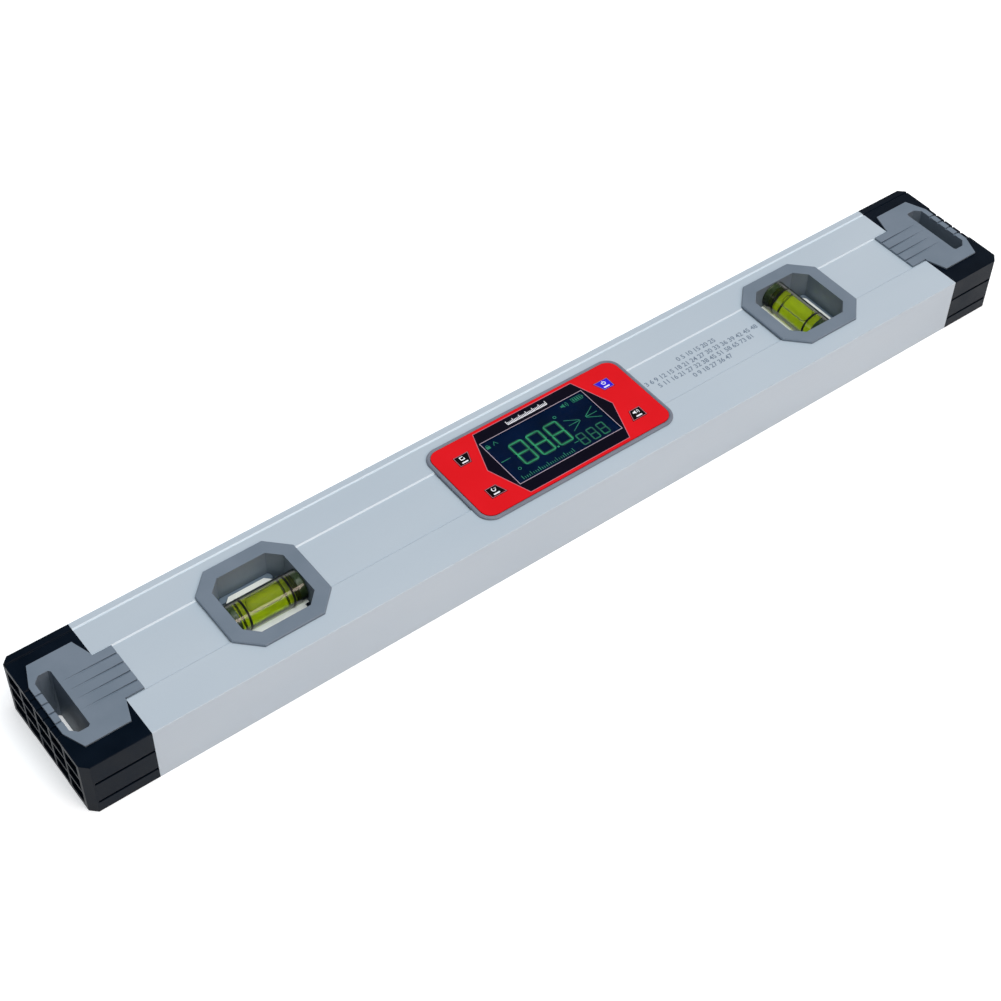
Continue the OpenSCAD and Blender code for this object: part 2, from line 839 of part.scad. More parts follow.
// The display's case: a rimmed flange, a floor, a skirt and four screw posts
module display_bezel() {
    inner_width = skirt_width - 2 * skirt_wall;
    inner_height = skirt_height - 2 * skirt_wall;
    recess_radius = panel_radius - rim_width;
    plate_width = panel_width - rim_width;
    plate_height = panel_height - rim_width;
    color(grey_plastic) difference() {
        union() {
            difference() {
                union() {
                    panel_rim();
                    between(flange_bottom, recess_floor)
                        rounded_rect(plate_width, plate_height, panel_radius - rim_width / 2);
                    between(housing_top + 2 * lay_fit, flange_bottom + lay_fit)
                        rounded_rect(skirt_width, skirt_height, skirt_radius);
                }
                between(recess_floor, rim_top + past)
                    rounded_rect(panel_width - 2 * rim_width, panel_height - 2 * rim_width, recess_radius);
                between(housing_top - past, floor_bottom)
                    rounded_rect(inner_width, inner_height, skirt_radius - skirt_wall);
            }
            at_screws(board_top + lay_fit) cylinder(h = floor_bottom - board_top, r = post_radius);
        }
        between(floor_bottom - past, recess_floor + past)
            square([lcd_width + 2 * seat_fit, lcd_height + 2 * seat_fit], center = true);
        four_corners() between(floor_bottom - past, recess_floor + past)
            polygon(grow(button_points, button_gap));
        at_screws(board_top - past)
            cylinder(h = screw_tip + tip_gap - board_top + past, r = screw_radius + thread_fit);
    }
}

module bezel_gasket() {
    inset = 0.3;
    skirt_gap = 1.5 * seat_fit;
    color(rubber_black) between(front + lay_fit / 4, front + gasket_thickness) difference() {
        rounded_rect(panel_width - 2 * inset, panel_height - 2 * inset, panel_radius - inset);
        rounded_rect(skirt_width + 2 * skirt_gap, skirt_height + 2 * skirt_gap, skirt_radius + skirt_gap);
    }
}

module keypad_membrane() {
    inset = rim_width + lay_fit;
    color(keypad_red) between(membrane_bottom, membrane_top) difference() {
        rounded_rect(panel_width - 2 * inset, panel_height - 2 * inset, panel_radius - inset);
        polygon(window_points);
        four_corners() polygon(grow(button_points, button_gap));
    }
}

module window_mask() {
    color(window_black) between(membrane_bottom, membrane_top) difference() {
        polygon(grow(window_points, -lay_fit));
        square([pane_width, pane_height], center = true);
    }
}

module window_pane() {
    color(clear_plastic) between(membrane_bottom, membrane_top)
        square([pane_width - 2 * lay_fit, pane_height - 2 * lay_fit], center = true);
}

module lcd_glass() {
    color(screen_blue) between(lcd_bottom, lcd_top) square([lcd_width, lcd_height], center = true);
}

module backlight() {
    inset = 2.1;
    color(white_plastic) between(board_top + lay_fit, lcd_bottom - lay_fit)
        square([lcd_width - 2 * inset, lcd_height - 2 * inset], center = true);
}

// Two strips that carry the signals from the board to the LCD glass
module elastomer_strips() {
    strip_width = 1.6;
    inset = 3.1;
    color(rubber_black) for (side = [-1, 1])
        translate([0, side * (lcd_height - strip_width) / 2, 0])
            between(board_top + lay_fit, lcd_bottom - lay_fit)
                square([lcd_width - 2 * inset, strip_width], center = true);
}

// The top right button: a cap in the panel, a flange under it and a stem over the switch
module button(colour) {
    centre = [button_out - button_wide / 2, (button_near + button_far) / 2];
    color(colour) {
        between(button_flange_top - lay_fit, membrane_top + lay_fit) polygon(button_points);
        between(button_flange_bottom, button_flange_top) translate([
            button_out - button_wide - button_flange,
            button_near - button_flange
        ])
            square([button_wide + 2 * button_flange, button_height + 2 * button_flange]);
        translate([centre[0], centre[1], stem_bottom])
            cylinder(h = button_flange_bottom - stem_bottom + lay_fit, r = stem_radius);
    }
}

module top_left_button() {
    mirror([1, 0, 0]) button(window_black);
}

module bottom_left_button() {
    mirror([1, 0, 0]) mirror([0, 1, 0]) button(window_black);
}

module top_right_button() {
    button(button_blue);
}

module bottom_right_button() {
    mirror([0, 1, 0]) button(window_black);
}

module main_board() {
    width = skirt_width - 2 * skirt_wall - 2 * board_gap;
    height = skirt_height - 2 * skirt_wall - board_gap;
    color(board_green) difference() {
        between(board_bottom, board_top) rounded_rect(width, height, skirt_radius - skirt_wall);
        at_screws(board_bottom - past) cylinder(h = board_thickness + 2 * past, r = screw_hole_radius);
    }
}

module dome_switches() {
    crown_radius = 0.7 * dome_radius;
    centre = [button_out - button_wide / 2, (button_near + button_far) / 2];
    color(steel) for (x = [-1, 1], y = [-1, 1]) translate([x * centre[0], y * centre[1], board_top]) {
        cylinder(h = dome_height / 2, r = dome_radius);
        cylinder(h = dome_height, r = crown_radius);
    }
}

module tilt_sensor() {
    place = [10, 5, 0];
    color(chip_black) translate(place)
        between(board_bottom - chip_height, board_bottom) square(sensor_side, center = true);
}

module processor_chip() {
    place = [-9, 0, 0];
    color(chip_black) translate(place)
        between(board_bottom - chip_height, board_bottom) square(processor_side, center = true);
}

module buzzer() {
    place = [12, -7, board_bottom - buzzer_height];
    port_radius = buzzer_radius / 4;
    port_depth = buzzer_height / 3;
    color(chip_black) translate(place) difference() {
        cylinder(h = buzzer_height, r = buzzer_radius);
        translate([0, 0, -past]) cylinder(h = past + port_depth, r = port_radius);
    }
}

// The battery box, its roof across the whole module and four pillars up to the board
module module_housing() {
    slot_side = contact_tab_width + 2 * seat_fit;
    color(chip_black) difference() {
        union() {
            between(box_roof_z, housing_top) rounded_rect(skirt_width, skirt_height, skirt_radius);
            between(housing_bottom, box_roof_z + lay_fit)
                rounded_rect(box_outer_length, box_outer_height, door_radius);
            at_screws(housing_top - lay_fit) cylinder(h = board_bottom - housing_top, r = pillar_radius);
        }
        between(housing_bottom - past, box_roof_z) square([box_length, box_height], center = true);
        at_screws(box_roof_z - past)
            cylinder(h = board_bottom - box_roof_z + 2 * past, r = screw_hole_radius);
        for (side = [-1, 1])
            translate([contact_face - seat_fit, side * cell_y - slot_side / 2, box_roof_z - past])
                cube([contact_thickness + 2 * seat_fit, slot_side, housing_roof + 2 * past]);
    }
}

module module_screws() {
    cross_length = 2.2;
    cross_width = 0.4;
    color(steel) at_screws(box_roof_z - screw_head_height) difference() {
        union() {
            translate([0, 0, -lay_fit]) cylinder(h = screw_head_height, r = screw_head_radius);
            translate([0, 0, screw_head_height - 2 * lay_fit])
                cylinder(h = screw_tip - box_roof_z, r = screw_radius);
        }
        cube([cross_width, cross_length, screw_head_height], center = true);
        cube([cross_length, cross_width, screw_head_height], center = true);
    }
}

module battery_cells() {
    can_length = cell_length - nub_length;
    color(cell_grey) for (side = [-1, 1])
        translate([0, side * cell_y, cell_z]) mirror([side > 0 ? 0 : 1, 0, 0]) {
            translate([-nub_length / 2, 0, 0]) along_x(can_length) circle(cell_radius);
            translate([cell_length / 2 - nub_length, 0, 0]) along_x(2 * nub_length) circle(nub_radius);
        }
}

// A bent strip at the right end of a cell: a back plate and a springy V
module contact() {
    bend = 2.2;
    along_y(contact_width) {
        translate([contact_face, cell_z - contact_reach]) square([contact_thickness, 2 * contact_reach]);
        polygon([
            [contact_face + lay_fit, cell_z - bend - contact_thickness],
            [contact_face + lay_fit, cell_z - bend + contact_thickness],
            [contact_tip + contact_thickness, cell_z],
            [contact_face + lay_fit, cell_z + bend - contact_thickness],
            [contact_face + lay_fit, cell_z + bend + contact_thickness],
            [contact_tip, cell_z + contact_thickness],
            [contact_tip, cell_z - contact_thickness],
        ]);
    }
}

// Two contacts with tabs up to the board at the right, two joined ones at the left
module battery_contacts() {
    tab_low = cell_z + contact_reach - 2 * lay_fit;
    link_height = 2;
    color(steel) {
        for (side = [-1, 1]) translate([0, side * cell_y, 0]) {
            contact();
            translate([contact_face, -contact_tab_width / 2, tab_low])
                cube([contact_thickness, contact_tab_width, board_bottom - lay_fit - tab_low]);
            mirror([1, 0, 0]) contact();
        }
        translate([-contact_back, -cell_y, cell_z - link_height / 2])
            cube([contact_thickness, 2 * cell_y, link_height]);
    }
}

// A flat door with ribs that keep the cells apart and grooves for the thumb
module battery_door() {
    groove_count = 4;
    groove_inset = 4;
    groove_pitch = 2;
    groove_side = 0.9;
    groove_length = 12;
    rib_length = 40;
    rib_width = 0.8;
    rib_y = box_height / 2 - rib_width;
    rib_top = housing_bottom + 1.3;
    color(black_plastic) {
        difference() {
            between(0, door_thickness) rounded_rect(door_length, door_height, door_radius);
            for (i = [0 : groove_count - 1])
                translate([door_length / 2 - groove_inset - groove_pitch * i, 0, 0])
                    cube([groove_side, groove_length, groove_side], center = true);
        }
        for (y = [-rib_y, 0, rib_y])
            translate([-rib_length / 2, y - rib_width / 2, door_thickness - lay_fit])
                cube([rib_length, rib_width, rib_top - door_thickness]);
    }
}

module battery_door_gasket() {
    inset = 0.4;
    color(rubber_black) between(door_thickness + lay_fit / 2, housing_bottom - lay_fit) difference() {
        rounded_rect(door_length - 2 * inset, door_height - 2 * inset, door_radius - inset);
        square([box_length + 2 * inset, box_height + inset], center = true);
    }
}

body_profile();
left_end_cap();
right_end_cap();
left_cap_insert();
right_cap_insert();
level_vial_frame();
level_vial_cradle();
level_vial_tube();
level_vial_liquid();
level_vial_rings();
level_vial_plugs();
level_vial_bubble();
plumb_vial_frame();
plumb_vial_cradle();
plumb_vial_tube();
plumb_vial_liquid();
plumb_vial_rings();
plumb_vial_plugs();
plumb_vial_bubble();
display_bezel();
bezel_gasket();
keypad_membrane();
window_mask();
window_pane();
lcd_glass();
backlight();
elastomer_strips();
top_left_button();
bottom_left_button();
top_right_button();
bottom_right_button();
main_board();
dome_switches();
tilt_sensor();
processor_chip();
buzzer();
module_housing();
module_screws();
battery_cells();
battery_contacts();
battery_door();
battery_door_gasket();
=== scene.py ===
import json
import math

import bmesh
import bpy
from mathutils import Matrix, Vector
from mathutils.geometry import convex_hull_2d


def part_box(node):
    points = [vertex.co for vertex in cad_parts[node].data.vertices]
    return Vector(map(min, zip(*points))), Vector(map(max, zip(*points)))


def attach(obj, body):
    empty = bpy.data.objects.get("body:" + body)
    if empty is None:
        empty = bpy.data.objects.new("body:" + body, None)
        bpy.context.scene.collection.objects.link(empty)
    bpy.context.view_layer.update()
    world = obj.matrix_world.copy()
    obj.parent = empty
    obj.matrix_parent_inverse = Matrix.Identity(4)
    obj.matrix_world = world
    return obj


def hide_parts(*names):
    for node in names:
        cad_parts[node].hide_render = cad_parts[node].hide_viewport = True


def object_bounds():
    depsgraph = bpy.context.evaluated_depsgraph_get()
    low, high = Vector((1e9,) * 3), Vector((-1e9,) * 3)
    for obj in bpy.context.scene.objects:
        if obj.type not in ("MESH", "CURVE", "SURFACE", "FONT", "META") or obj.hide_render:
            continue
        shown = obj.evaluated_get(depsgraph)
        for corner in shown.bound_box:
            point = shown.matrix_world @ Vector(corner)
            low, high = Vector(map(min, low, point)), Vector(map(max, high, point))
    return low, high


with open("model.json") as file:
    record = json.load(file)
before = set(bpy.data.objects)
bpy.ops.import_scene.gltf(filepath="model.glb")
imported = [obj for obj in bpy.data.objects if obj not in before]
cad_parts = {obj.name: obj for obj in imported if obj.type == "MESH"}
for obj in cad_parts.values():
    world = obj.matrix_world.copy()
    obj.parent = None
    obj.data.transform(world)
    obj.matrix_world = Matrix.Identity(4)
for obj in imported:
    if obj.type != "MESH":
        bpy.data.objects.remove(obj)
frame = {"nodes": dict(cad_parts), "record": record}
cad_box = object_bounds()

MM = 0.001


# Colours and finishes

def srgb(red, green, blue):
    """A shader colour from the usual values of 0 to 255."""
    def linear(value):
        share = value / 255
        return share / 12.92 if share <= 0.04045 else ((share + 0.055) / 1.055) ** 2.4
    return (linear(red), linear(green), linear(blue), 1.0)


def new_finish(name, colour, roughness, sockets=None):
    """A Principled material. Sockets gives the values of further shader sockets by name."""
    finish = bpy.data.materials.new(name)
    finish.use_nodes = True
    shader = finish.node_tree.nodes["Principled BSDF"]
    shader.inputs["Base Color"].default_value = colour
    shader.inputs["Roughness"].default_value = roughness
    for socket, value in (sockets or {}).items():
        shader.inputs[socket].default_value = value
    return finish


def add_node(finish, kind, inputs=None, **settings):
    """A new node in a material, with its inputs linked or set by name."""
    tree = finish.node_tree
    made = tree.nodes.new(kind)
    for name, value in settings.items():
        setattr(made, name, value)
    for name, value in (inputs or {}).items():
        link_or_set(tree, made.inputs[name], value)
    return made


def link_or_set(tree, socket, value):
    """Links an output to a socket, or sets the socket's value."""
    if isinstance(value, bpy.types.NodeSocket):
        tree.links.new(value, socket)
    else:
        socket.default_value = value


def mix_colours(tree, factor, first, second):
    """A mix of two colours. Each is a colour or an output."""
    mix = tree.nodes.new("ShaderNodeMix")
    mix.data_type = "RGBA"
    factor_socket, first_socket, second_socket = mix.inputs[0], mix.inputs[6], mix.inputs[7]
    tree.links.new(factor, factor_socket)
    link_or_set(tree, first_socket, first)
    link_or_set(tree, second_socket, second)
    return mix.outputs[2]


def combine(tree, operation, first, second=None):
    """The result of a sum with one or two values. Each is a number or an output."""
    node = tree.nodes.new("ShaderNodeMath")
    node.operation = operation
    link_or_set(tree, node.inputs[0], first)
    if second is not None:
        link_or_set(tree, node.inputs[1], second)
    return node.outputs[0]


def mix_shaders(finish, factor, first, second):
    """Makes a mix of two shaders the surface of a material."""
    tree = finish.node_tree
    mix = tree.nodes.new("ShaderNodeMixShader")
    link_or_set(tree, mix.inputs[0], factor)
    tree.links.new(first, mix.inputs[1])
    tree.links.new(second, mix.inputs[2])
    tree.links.new(mix.outputs[0], tree.nodes["Material Output"].inputs["Surface"])


def feed(finish, socket, output):
    """Links an output to a socket of the material's shader."""
    shader = finish.node_tree.nodes["Principled BSDF"]
    finish.node_tree.links.new(output, shader.inputs[socket])


def base_colour(finish):
    """The output that feeds a material's base colour."""
    return finish.node_tree.nodes["Principled BSDF"].inputs["Base Color"].links[0].from_socket


def grains(finish, size, stretch=(1, 1, 1), detail=3.0):
    """Noise from 0 to 1 whose grains are about size metres across, stretched along the axes."""
    place = add_node(finish, "ShaderNodeTexCoord").outputs["Object"]
    scale = [1 / (size * share) for share in stretch]
    scaled = add_node(finish, "ShaderNodeMapping", {"Vector": place, "Scale": scale}).outputs["Vector"]
    noise = add_node(finish, "ShaderNodeTexNoise", {"Vector": scaled, "Scale": 1.0, "Detail": detail})
    spread = {"Value": noise.outputs["Fac"], "From Min": 0.3, "From Max": 0.7}
    return add_node(finish, "ShaderNodeMapRange", spread).outputs["Result"]


def mottle(finish, factor, dark, light):
    """Varies the base colour between two colours."""
    feed(finish, "Base Color", mix_colours(finish.node_tree, factor, dark, light))


def vary_roughness(finish, factor, low, high):
    """Varies the roughness between two values."""
    spread = {"Value": factor, "To Min": low, "To Max": high}
    feed(finish, "Roughness", add_node(finish, "ShaderNodeMapRange", spread).outputs["Result"])


EDGE_SAMPLES = 6


def relief(finish, height, depth, edge=0.0):
    """Gives the surface a relief of that depth and rounds its edges to the radius edge."""
    inputs = {"Height": height, "Distance": depth, "Strength": 1.0}
    if edge:
        rounding = add_node(finish, "ShaderNodeBevel", {"Radius": edge}, samples=EDGE_SAMPLES)
        inputs["Normal"] = rounding.outputs["Normal"]
    feed(finish, "Normal", add_node(finish, "ShaderNodeBump", inputs).outputs["Normal"])


def band(finish, coordinate, middle, half_width):
    """1 where a coordinate is within half_width of a value, and 0 elsewhere."""
    tree = finish.node_tree
    distance = combine(tree, "ABSOLUTE", combine(tree, "SUBTRACT", coordinate, middle))
    spread = {"Value": distance, "From Min": 1.1 * half_width, "From Max": 0.9 * half_width}
    return add_node(finish, "ShaderNodeMapRange", spread).outputs["Result"]


SIGHT_GROOVE_INSET = 3.1 * MM
SIGHT_GROOVE_HALF_WIDTH = 0.5 * MM
CHANNEL_EDGE_Y = 10.62 * MM
CHANNEL_EDGE_HALF_WIDTH = 0.26 * MM
# Colour of the painted highlight along the sight groove and the channel's edge.
PAINTED_HIGHLIGHT_COLOUR = srgb(211, 222, 230)


def anodised_aluminium():
    """Satin anodised extrusion with fine drawn lines. The sight groove and the channel's edge carry a painted
    highlight, a light colour that stands in for a lamp's reflection.
    """
    shine = {"Metallic": 0.1, "Specular IOR Level": 0.35}
    finish = new_finish("anodised_aluminium", srgb(184, 195, 206), 0.5, shine)
    tree = finish.node_tree
    lines = grains(finish, 0.25 * MM, stretch=(120, 1, 1))
    clouds = grains(finish, 30 * MM, stretch=(3, 1, 1), detail=2)
    mottle(finish, clouds, srgb(181, 193, 203), srgb(186, 197, 206))
    place = add_node(finish, "ShaderNodeTexCoord").outputs["Object"]
    across = add_node(finish, "ShaderNodeSeparateXYZ", {"Vector": place}).outputs["Y"]
    groove_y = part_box("body_profile")[1].y - SIGHT_GROOVE_INSET
    groove = band(finish, across, groove_y, SIGHT_GROOVE_HALF_WIDTH)
    channel_edge = band(finish, across, CHANNEL_EDGE_Y, CHANNEL_EDGE_HALF_WIDTH)
    # Painted highlight: the groove and the channel's edge get a light colour, as if they caught a lamp.
    painted_highlight_mask = combine(tree, "MAXIMUM", groove, channel_edge)
    feed(finish, "Base Color", mix_colours(tree, painted_highlight_mask, base_colour(finish), PAINTED_HIGHLIGHT_COLOUR))
    vary_roughness(finish, lines, 0.42, 0.56)
    relief(finish, lines, 0.004 * MM, edge=0.05 * MM)
    return finish


def moulded_plastic(name, dark, light, rough, grain, depth, edge, sockets=None):
    """Moulded plastic with a fine grained skin, rounded edges and a faint mottle."""
    finish = new_finish(name, dark, rough, sockets)
    skin = grains(finish, grain)
    clouds = grains(finish, 9 * MM, detail=2)
    mottle(finish, clouds, dark, light)
    vary_roughness(finish, clouds, rough - 0.05, rough + 0.06)
    relief(finish, skin, depth, edge=edge)
    return finish


GROOVE_REACH = 0.5 * MM
# Colour of the painted shade in grooves.
GROOVE_PAINTED_SHADE = srgb(48, 62, 78)


def darken_grooves(finish):
    """Paints shade on the floors of narrow grooves and in other tight hollows, where the surface is closed
    in. Hands the finish back.
    """
    inputs = {"Distance": GROOVE_REACH}
    openness = add_node(finish, "ShaderNodeAmbientOcclusion", inputs, samples=8, only_local=True)
    spread = {"Value": openness.outputs["AO"], "From Min": 0.45, "From Max": 0.85}
    share = add_node(finish, "ShaderNodeMapRange", spread).outputs["Result"]
    # Painted shade: the base colour turns to the shade colour where ambient occlusion finds the surface
    # closed in.
    feed(finish, "Base Color", mix_colours(finish.node_tree, share, GROOVE_PAINTED_SHADE, base_colour(finish)))
    return finish


def printed_film(name, dark, light, rough, shine=0.3):
    """Printed film with a fine satin texture and a slight waviness."""
    finish = new_finish(name, dark, rough, {"Specular IOR Level": shine})
    mottle(finish, grains(finish, 14 * MM, detail=1), dark, light)
    satin = grains(finish, 0.18 * MM)
    vary_roughness(finish, satin, rough - 0.06, rough + 0.06)
    relief(finish, satin, 0.003 * MM, edge=0.05 * MM)
    return finish


def metal(name, dark, light, rough):
    """Bare metal with fine marks."""
    finish = new_finish(name, dark, rough, {"Metallic": 1.0})
    marks = grains(finish, 0.2 * MM, stretch=(6, 1, 1))
    mottle(finish, marks, dark, light)
    vary_roughness(finish, marks, rough - 0.08, rough + 0.08)
    relief(finish, marks, 0.004 * MM, edge=0.08 * MM)
    return finish


def rim_colour(finish, tint, painted_rim_tint, edge):
    """A colour that turns to another near the outline of a round thing. A darker second colour is painted
    shade at the rim.
    """
    facing = add_node(finish, "ShaderNodeLayerWeight", {"Blend": 0.5}).outputs["Facing"]
    spread = {"Value": facing, "From Min": edge[0], "From Max": edge[1]}
    rim = add_node(finish, "ShaderNodeMapRange", spread, interpolation_type="SMOOTHSTEP").outputs["Result"]
    return mix_colours(finish.node_tree, rim, tint, painted_rim_tint)


def add_waviness(finish):
    """The slight waviness of a clear moulding."""
    relief(finish, grains(finish, 6 * MM, detail=1), 0.004 * MM)


def see_through(name, tint, painted_rim_tint, body, cover, edge=(0.3, 0.5)):
    """Clear film, liquid or air. Tint colours what is behind it, and a second tint does so near its outline.
    A darker second tint is painted shade at the rim.
    Body is the colour it adds, which covers the share cover of what is behind it: its own colour, or painted
    light where it has none."""
    finish = new_finish(name, body, 0.1)
    colour = rim_colour(finish, tint, painted_rim_tint, edge)
    clear = add_node(finish, "ShaderNodeBsdfTransparent", {"Color": colour}).outputs[0]
    mix_shaders(finish, cover, clear, finish.node_tree.nodes["Principled BSDF"].outputs[0])
    add_waviness(finish)
    return finish


def clear_acrylic(name, tint, painted_rim_tint, edge, rough):
    """Clear plastic that bends what is seen through it. Lamp light passes straight, so that it isn't lost."""
    shine = {"Transmission Weight": 1.0, "IOR": 1.45, "Coat Weight": 0.4, "Coat Roughness": 0.22}
    finish = new_finish(name, tint, rough, shine)
    # Painted shade: the base colour turns dark near the outline.
    feed(finish, "Base Color", rim_colour(finish, tint, painted_rim_tint, edge))
    straight = add_node(finish, "ShaderNodeBsdfTransparent", {"Color": tint}).outputs[0]
    to_lamp = add_node(finish, "ShaderNodeLightPath").outputs["Is Shadow Ray"]
    mix_shaders(finish, to_lamp, finish.node_tree.nodes["Principled BSDF"].outputs[0], straight)
    add_waviness(finish)
    return finish


FINISHES = {
    "anodised_aluminium": anodised_aluminium(),
    "cap_black": moulded_plastic(
        "cap_black", srgb(3, 12, 23), srgb(6, 17, 29), 0.42, 0.35 * MM, 0.012 * MM, 0.2 * MM,
        {"Specular IOR Level": 0.08},
    ),
    # The insert's grooves get painted shade.
    "insert_grey": darken_grooves(moulded_plastic(
        "insert_grey", srgb(106, 119, 132), srgb(112, 124, 137), 0.55, 0.3 * MM, 0.006 * MM, 0.15 * MM,
    )),
    "cradle_white": moulded_plastic(
        "cradle_white", srgb(228, 226, 220), srgb(236, 234, 230), 0.3, 0.4 * MM, 0.004 * MM, 0.15 * MM,
    ),
    # Painted shade: the dark rims of the vial and its liquid.
    "vial_clear": clear_acrylic("vial_clear", srgb(250, 252, 246), srgb(30, 46, 12), (0.34, 0.5), 0.04),
    "vial_liquid": see_through(
        "vial_liquid", srgb(217, 224, 120), srgb(96, 110, 40), srgb(150, 170, 0), 0.03, (0.36, 0.43),
    ),
    # Painted light: a lighter copy of the vial liquid, for the plumb vial, which gets less light.
    "painted_light_liquid": see_through(
        "painted_light_liquid", srgb(240, 247, 114), srgb(110, 126, 36), srgb(150, 170, 0), 0.03, (0.36, 0.43),
    ),
    "ring_black": printed_film("ring_black", srgb(12, 12, 12), srgb(18, 18, 18), 0.4),
    "plug_green": moulded_plastic(
        "plug_green", srgb(30, 45, 12), srgb(36, 52, 16), 0.35, 0.4 * MM, 0.004 * MM, 0.1 * MM,
    ),
    # The bubble's pale body is painted light, and its dark rim is painted shade.
    "bubble_air": see_through(
        "bubble_air", srgb(254, 255, 250), srgb(30, 40, 0), srgb(226, 238, 190), 0.1, (0.52, 0.72),
    ),
    "bezel_dark": moulded_plastic(
        "bezel_dark", srgb(112, 118, 130), srgb(120, 126, 138), 0.5, 0.3 * MM, 0.006 * MM, 0.1 * MM,
    ),
    "gasket_black": moulded_plastic(
        "gasket_black", srgb(22, 22, 23), srgb(30, 30, 31), 0.85, 0.2 * MM, 0.02 * MM, 0.05 * MM,
    ),
    "keypad_red": printed_film("keypad_red", srgb(214, 14, 24), srgb(219, 17, 28), 0.42, shine=0.12),
    "window_black": printed_film("window_black", srgb(7, 5, 20), srgb(10, 7, 24), 0.4, shine=0.1),
    "pane_clear": see_through(
        "pane_clear", srgb(252, 253, 255), srgb(252, 253, 255), srgb(6, 10, 26), 0.03,
    ),
    "screen_navy": printed_film("screen_navy", srgb(0, 17, 42), srgb(2, 24, 58), 0.4, shine=0.06),
    "backlight_white": moulded_plastic(
        "backlight_white", srgb(230, 232, 234), srgb(238, 240, 242), 0.4, 0.5 * MM, 0.004 * MM, 0.1 * MM,
    ),
    "button_black": printed_film("button_black", srgb(10, 7, 10), srgb(13, 10, 13), 0.4, shine=0.1),
    "button_blue": printed_film("button_blue", srgb(38, 10, 205), srgb(42, 14, 212), 0.4),
    "board_green": printed_film("board_green", srgb(12, 92, 46), srgb(16, 106, 52), 0.35),
    "chip_black": moulded_plastic(
        "chip_black", srgb(27, 27, 29), srgb(33, 33, 35), 0.6, 0.15 * MM, 0.01 * MM, 0.08 * MM,
    ),
    "metal_dome": metal("metal_dome", srgb(196, 195, 190), srgb(206, 205, 200), 0.28),
    "screw_steel": metal("screw_steel", srgb(190, 190, 190), srgb(202, 202, 202), 0.33),
    "contact_steel": metal("contact_steel", srgb(202, 198, 190), srgb(212, 208, 200), 0.3),
    "cell_wrap": printed_film("cell_wrap", srgb(74, 79, 88), srgb(82, 87, 96), 0.3),
    "housing_black": moulded_plastic(
        "housing_black", srgb(27, 28, 30), srgb(33, 34, 36), 0.6, 0.35 * MM, 0.012 * MM, 0.2 * MM,
    ),
    "door_black": moulded_plastic(
        "door_black", srgb(25, 29, 34), srgb(31, 35, 40), 0.55, 0.35 * MM, 0.014 * MM, 0.2 * MM,
    ),
    "print_white": printed_film("print_white", srgb(236, 234, 240), srgb(244, 243, 248), 0.45),
    "print_pink": printed_film("print_pink", srgb(176, 158, 172), srgb(182, 166, 180), 0.45),
    "print_rose": printed_film("print_rose", srgb(188, 104, 118), srgb(194, 114, 128), 0.45),
    "print_grey": printed_film("print_grey", srgb(118, 131, 146), srgb(124, 137, 151), 0.5),
}


def lit_segment(name, colour, glow, strength):
    """A segment of the screen, lit from behind and uneven as a light guide is."""
    finish = new_finish(name, colour, 0.5, {"Emission Color": glow, "Emission Strength": strength})
    mottle(finish, grains(finish, 4 * MM, detail=1), colour, glow)
    return finish


SEGMENT_LIT = lit_segment("segment_lit", srgb(10, 52, 42), srgb(42, 142, 92), 0.68)
SEGMENT_FAINT = lit_segment("segment_faint", srgb(10, 48, 44), srgb(34, 122, 88), 0.5)
SEGMENT_GLOW = lit_segment("segment_glow", srgb(3, 24, 30), srgb(4, 48, 34), 0.6)


def paint_nodes():
    """Gives every CAD node the finish of its slot."""
    for entry in frame["record"]["subparts"]:
        node = frame["nodes"][entry["node"]]
        node.data.materials.clear()
        node.data.materials.append(FINISHES[entry["material_slot"]])


# Flat shapes, as solids a few hundredths of a millimetre thick

def outward(a, b):
    """The normal on the right of the way from a to b."""
    along = (b - a).normalized()
    return Vector((along.y, -along.x))


def shifted(point, first, second, distance):
    """A corner moved so that both its sides move by distance along their normals."""
    return point + distance * (first + second) / (1 + first.dot(second))


def grow(outline, distance):
    """An anticlockwise outline with every side moved outwards."""
    grown = []
    for index, point in enumerate(outline):
        before, after = outline[index - 1], outline[(index + 1) % len(outline)]
        grown.append(shifted(point, outward(before, point), outward(point, after), distance))
    return grown


def circle(centre, radius, turns=1.0, start=0.0, points=32):
    """Points round a circle, or along an arc if turns is under 1."""
    count = points if turns == 1.0 else points + 1
    angles = [2 * math.pi * (start + turns * i / points) for i in range(count)]
    return [Vector((centre[0] + radius * math.cos(a), centre[1] + radius * math.sin(a))) for a in angles]


def rectangle(centre, width, height):
    """The corners of a rectangle, anticlockwise."""
    x, y = centre
    w, h = width / 2, height / 2
    return [Vector((x - w, y - h)), Vector((x + w, y - h)), Vector((x + w, y + h)), Vector((x - w, y + h))]


def add_plate(mesh, outline, low, high):
    """A plate with that outline between two heights."""
    below = [mesh.verts.new((x, y, low)) for x, y in outline]
    above = [mesh.verts.new((x, y, high)) for x, y in outline]
    mesh.faces.new(below[::-1])
    mesh.faces.new(above)
    for i in range(len(outline)):
        mesh.faces.new((below[i - 1], below[i], above[i], above[i - 1]))


def add_loop(mesh, outline, width, low, high):
    """A closed line of that width, whose middle follows the outline."""
    rims = [grow(outline, width / 2), grow(outline, -width / 2)]
    outer_low, inner_low = [[mesh.verts.new((x, y, low)) for x, y in rim] for rim in rims]
    outer_high, inner_high = [[mesh.verts.new((x, y, high)) for x, y in rim] for rim in rims]
    for i in range(len(outline)):
        mesh.faces.new((outer_high[i - 1], outer_high[i], inner_high[i], inner_high[i - 1]))
        mesh.faces.new((outer_low[i], outer_low[i - 1], inner_low[i - 1], inner_low[i]))
        mesh.faces.new((outer_low[i - 1], outer_low[i], outer_high[i], outer_high[i - 1]))
        mesh.faces.new((inner_low[i], inner_low[i - 1], inner_high[i - 1], inner_high[i]))


